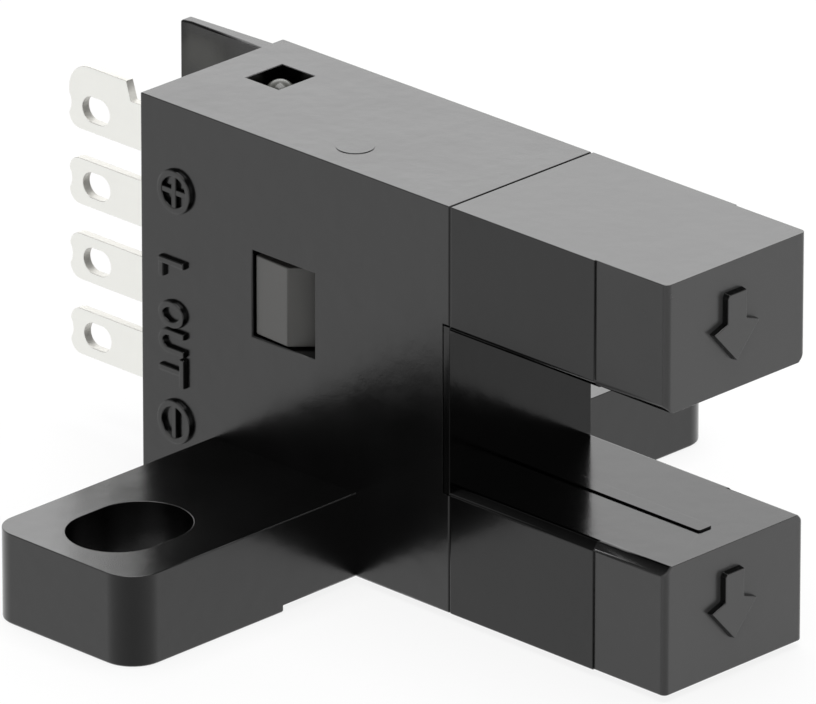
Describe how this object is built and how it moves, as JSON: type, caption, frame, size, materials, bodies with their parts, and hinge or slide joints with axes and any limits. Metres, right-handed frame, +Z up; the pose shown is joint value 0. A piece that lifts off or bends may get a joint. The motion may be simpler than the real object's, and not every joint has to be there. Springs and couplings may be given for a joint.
{
  "type": "slotted optical switch",
  "caption": "Black slotted optical switch: a flanged case with a forked head around an open sensing slot, mounting slots and eyelet terminals in a row at the back.",
  "frame": {"origin": "midway between the two mounting slots, on the mounting face under the flange pads", "axes": "+X out along the prongs, +Z up from the mounting face, +Y towards the side with the connector tongue"},
  "size_m": [0.0285, 0.0254, 0.0137],
  "materials": {
    "case_plastic": "fine moulded satin",
    "head_plastic": "smooth moulded satin",
    "board_laminate": "solder mask",
    "terminal_metal": "plated, satin",
    "solder": "reflowed",
    "emitter_resin": "clear tinted",
    "receiver_resin": "dark filter resin",
    "lead_metal": "tinned",
    "lamp_resin": "milky",
    "chip_resin": "moulded",
    "resistor_ceramic": "glazed",
    "capacitor_ceramic": "fired"
  },
  "bodies": {
    "root": {"case": "case_plastic", "optical_head": "head_plastic", "circuit_board": "board_laminate", "supply_terminal": "terminal_metal", "mode_terminal": "terminal_metal", "output_terminal": "terminal_metal", "common_terminal": "terminal_metal", "terminal_solder": "solder", "infrared_emitter": "emitter_resin", "emitter_leads": "lead_metal", "infrared_receiver": "receiver_resin", "receiver_leads": "lead_metal", "lead_solder": "solder", "indicator_lamp": "lamp_resin", "amplifier_chip": "chip_resin", "amplifier_legs": "lead_metal", "output_transistor": "chip_resin", "transistor_legs": "lead_metal", "protection_diode": "chip_resin", "diode_legs": "lead_metal", "chip_resistors": "resistor_ceramic", "chip_capacitors": "capacitor_ceramic"}
  },
  "joints": []
}
